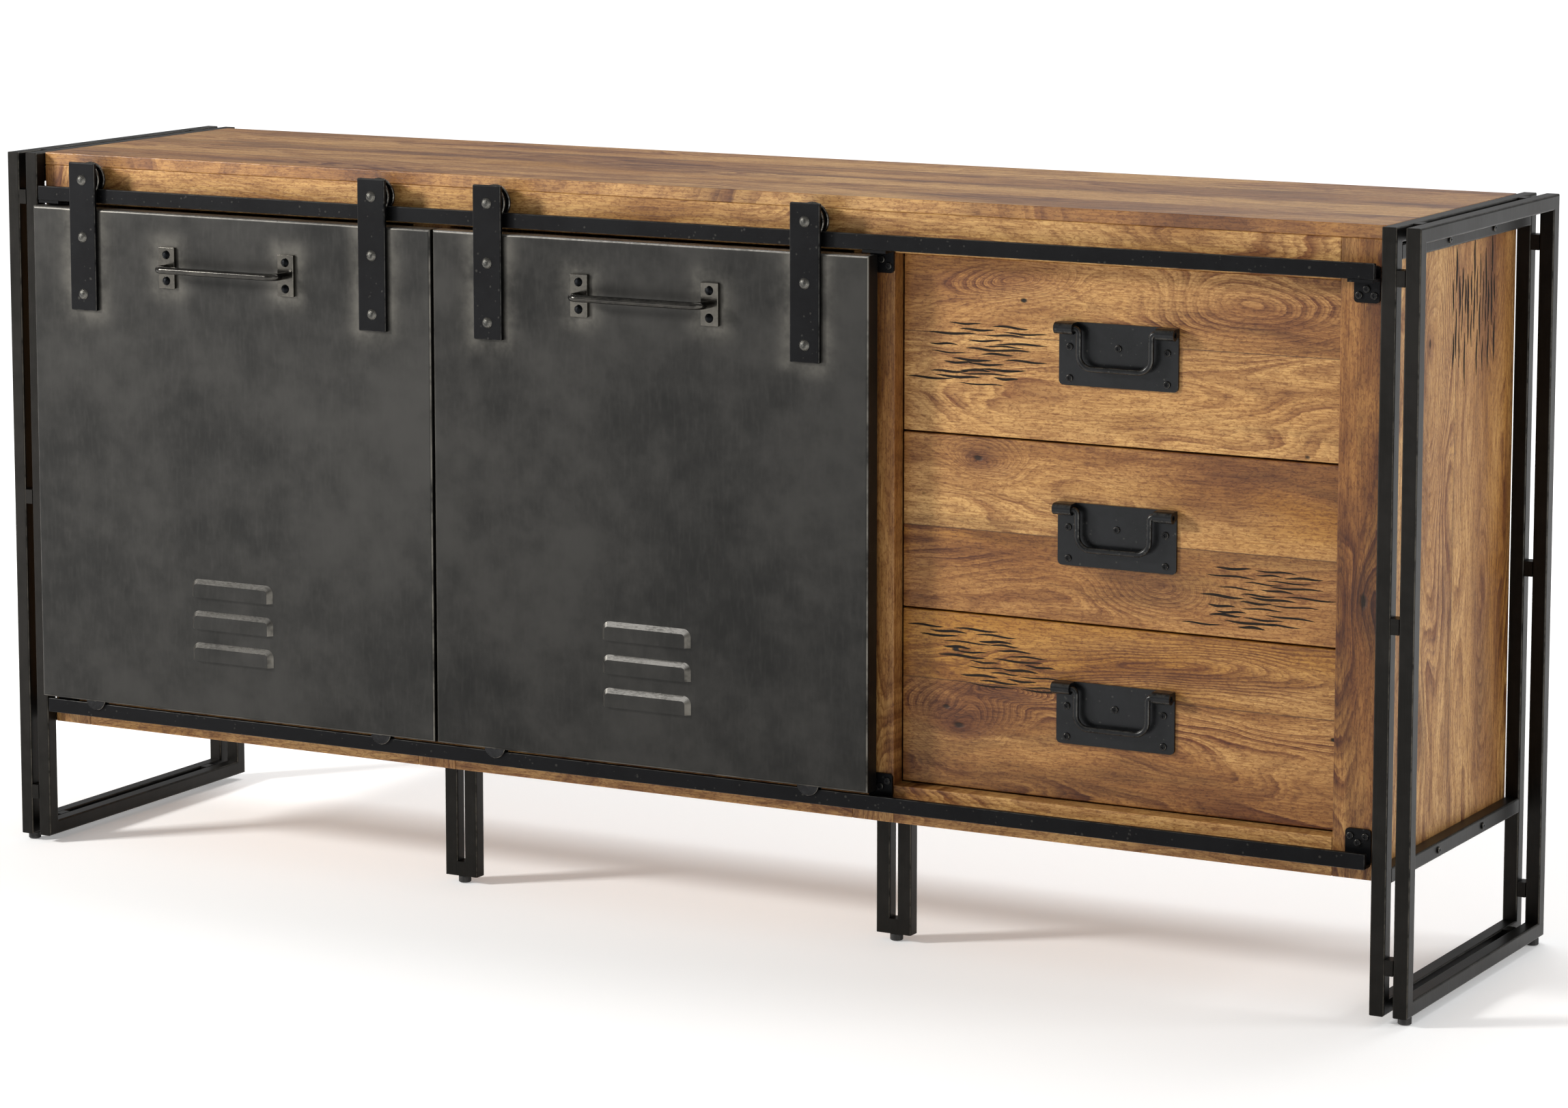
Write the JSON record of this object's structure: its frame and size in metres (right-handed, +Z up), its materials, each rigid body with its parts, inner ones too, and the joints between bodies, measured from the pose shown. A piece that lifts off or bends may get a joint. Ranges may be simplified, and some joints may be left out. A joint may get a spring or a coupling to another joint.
{
  "type": "sideboard buffet",
  "caption": "Long mango-wood sideboard on double steel ring frames, with hanging steel doors rolling on a front track and drawers with bail pulls.",
  "frame": {"origin": "middle of the footprint on the floor, door handles included", "axes": "+X to the right along the length, +Y from the doors to the back, +Z up"},
  "size_m": [1.7, 0.427, 0.793],
  "materials": {
    "mango_wood": "oiled and lacquered mango wood with strong figure",
    "inner_wood": "plain sanded wood",
    "back_board": "thin stained board",
    "frame_steel": "gunmetal lacquer over welded steel tube",
    "door_steel": "brushed gunmetal lacquer over sheet steel",
    "black_iron": "black lacquered flat iron, worn at the edges",
    "bolt_steel": "hammered grey bolt heads",
    "handle_steel": "dark polished steel",
    "wheel_iron": "dark turned iron",
    "bright_steel": "zinc-plated pins",
    "black_screws": "black cross-recess screws",
    "foot_plastic": "black moulded plastic"
  },
  "bodies": {
    "carcass": {"top_board": "mango_wood", "bottom_board": "inner_wood", "left_side_panel": "mango_wood", "right_side_panel": "mango_wood", "partition_panels": "inner_wood", "back_panel": "back_board", "shelves": "inner_wood", "shelf_pins": "bright_steel", "end_stiles": "mango_wood", "centre_stiles": "mango_wood", "top_rail": "mango_wood", "bottom_rail": "mango_wood", "drawer_runners": "inner_wood", "left_outer_ring": "frame_steel", "left_inner_ring": "frame_steel", "right_outer_ring": "frame_steel", "right_inner_ring": "frame_steel", "frame_spacers": "frame_steel", "side_bars": "frame_steel", "side_bar_screws": "black_screws", "middle_legs": "frame_steel", "leg_screws": "black_screws", "feet": "foot_plastic", "top_track": "black_iron", "bottom_track": "black_iron", "track_brackets": "black_iron", "bracket_screws": "black_screws"},
    "left_door": {"left_door_panel": "door_steel", "left_door_straps": "black_iron", "left_door_bolts": "bolt_steel", "left_door_handle": "handle_steel"},
    "right_door": {"right_door_panel": "door_steel", "right_door_straps": "black_iron", "right_door_bolts": "bolt_steel", "right_door_handle": "handle_steel"},
    "left_door_left_wheel": {"left_door_left_wheel": "wheel_iron"},
    "left_door_left_roller": {"left_door_left_roller": "wheel_iron"},
    "left_door_right_wheel": {"left_door_right_wheel": "wheel_iron"},
    "left_door_right_roller": {"left_door_right_roller": "wheel_iron"},
    "right_door_left_wheel": {"right_door_left_wheel": "wheel_iron"},
    "right_door_left_roller": {"right_door_left_roller": "wheel_iron"},
    "right_door_right_wheel": {"right_door_right_wheel": "wheel_iron"},
    "right_door_right_roller": {"right_door_right_roller": "wheel_iron"},
    "lower_drawer": {"lower_drawer_front": "mango_wood", "lower_drawer_box": "inner_wood", "lower_pull_plate": "black_iron", "lower_pull_screws": "black_screws"},
    "lower_bail": {"lower_pull_bail": "black_iron"},
    "middle_drawer": {"middle_drawer_front": "mango_wood", "middle_drawer_box": "inner_wood", "middle_pull_plate": "black_iron", "middle_pull_screws": "black_screws"},
    "middle_bail": {"middle_pull_bail": "black_iron"},
    "upper_drawer": {"upper_drawer_front": "mango_wood", "upper_drawer_box": "inner_wood", "upper_pull_plate": "black_iron", "upper_pull_screws": "black_screws"},
    "upper_bail": {"upper_pull_bail": "black_iron"}
  },
  "joints": [
    {"name": "left_door_slide", "type": "slide", "parent": "carcass", "child": "left_door", "axis": [1, 0, 0], "range_m": [0, 0.553]},
    {"name": "right_door_slide", "type": "slide", "parent": "carcass", "child": "right_door", "axis": [1, 0, 0], "range_m": [0, 0.553]},
    {"name": "left_door_left_wheel_spin", "type": "hinge", "parent": "left_door", "child": "left_door_left_wheel", "pos_m": [-0.736, -0.1765, 0.7673], "axis": [0, 1, 0], "range_deg": [0, 3078]},
    {"name": "left_door_left_roller_spin", "type": "hinge", "parent": "left_door", "child": "left_door_left_roller", "pos_m": [-0.736, -0.1765, 0.1768], "axis": [0, 1, 0], "range_deg": [0, 5464]},
    {"name": "left_door_right_wheel_spin", "type": "hinge", "parent": "left_door", "child": "left_door_right_wheel", "pos_m": [-0.351, -0.1765, 0.7673], "axis": [0, 1, 0], "range_deg": [0, 3078]},
    {"name": "left_door_right_roller_spin", "type": "hinge", "parent": "left_door", "child": "left_door_right_roller", "pos_m": [-0.351, -0.1765, 0.1768], "axis": [0, 1, 0], "range_deg": [0, 5464]},
    {"name": "right_door_left_wheel_spin", "type": "hinge", "parent": "right_door", "child": "right_door_left_wheel", "pos_m": [-0.204, -0.1765, 0.7673], "axis": [0, 1, 0], "range_deg": [0, 3078]},
    {"name": "right_door_left_roller_spin", "type": "hinge", "parent": "right_door", "child": "right_door_left_roller", "pos_m": [-0.204, -0.1765, 0.1768], "axis": [0, 1, 0], "range_deg": [0, 5464]},
    {"name": "right_door_right_wheel_spin", "type": "hinge", "parent": "right_door", "child": "right_door_right_wheel", "pos_m": [0.181, -0.1765, 0.7673], "axis": [0, 1, 0], "range_deg": [0, 3078]},
    {"name": "right_door_right_roller_spin", "type": "hinge", "parent": "right_door", "child": "right_door_right_roller", "pos_m": [0.181, -0.1765, 0.1768], "axis": [0, 1, 0], "range_deg": [0, 5464]},
    {"name": "lower_drawer_slide", "type": "slide", "parent": "carcass", "child": "lower_drawer", "axis": [0, 1, 0], "range_m": [-0.25, 0]},
    {"name": "lower_bail_swing", "type": "hinge", "parent": "lower_drawer", "child": "lower_bail", "pos_m": [0.5155, -0.1515, 0.3], "axis": [1, 0, 0], "range_deg": [-95, 0]},
    {"name": "middle_drawer_slide", "type": "slide", "parent": "carcass", "child": "middle_drawer", "axis": [0, 1, 0], "range_m": [-0.25, 0]},
    {"name": "middle_bail_swing", "type": "hinge", "parent": "middle_drawer", "child": "middle_bail", "pos_m": [0.5155, -0.1515, 0.485], "axis": [1, 0, 0], "range_deg": [-95, 0]},
    {"name": "upper_drawer_slide", "type": "slide", "parent": "carcass", "child": "upper_drawer", "axis": [0, 1, 0], "range_m": [-0.25, 0]},
    {"name": "upper_bail_swing", "type": "hinge", "parent": "upper_drawer", "child": "upper_bail", "pos_m": [0.5155, -0.1515, 0.67], "axis": [1, 0, 0], "range_deg": [-95, 0]}
  ],
  "couplings": [
    {"joint": "right_door_slide", "follows": "left_door_slide", "ratio": 1},
    {"joint": "left_door_left_wheel_spin", "follows": "left_door_slide", "rad_per_m": 97.087},
    {"joint": "left_door_left_roller_spin", "follows": "left_door_slide", "rad_per_m": 172.41},
    {"joint": "left_door_right_wheel_spin", "follows": "left_door_slide", "rad_per_m": 97.087},
    {"joint": "left_door_right_roller_spin", "follows": "left_door_slide", "rad_per_m": 172.41},
    {"joint": "right_door_left_wheel_spin", "follows": "left_door_slide", "rad_per_m": 97.087},
    {"joint": "right_door_left_roller_spin", "follows": "left_door_slide", "rad_per_m": 172.41},
    {"joint": "right_door_right_wheel_spin", "follows": "left_door_slide", "rad_per_m": 97.087},
    {"joint": "right_door_right_roller_spin", "follows": "left_door_slide", "rad_per_m": 172.41}
  ]
}
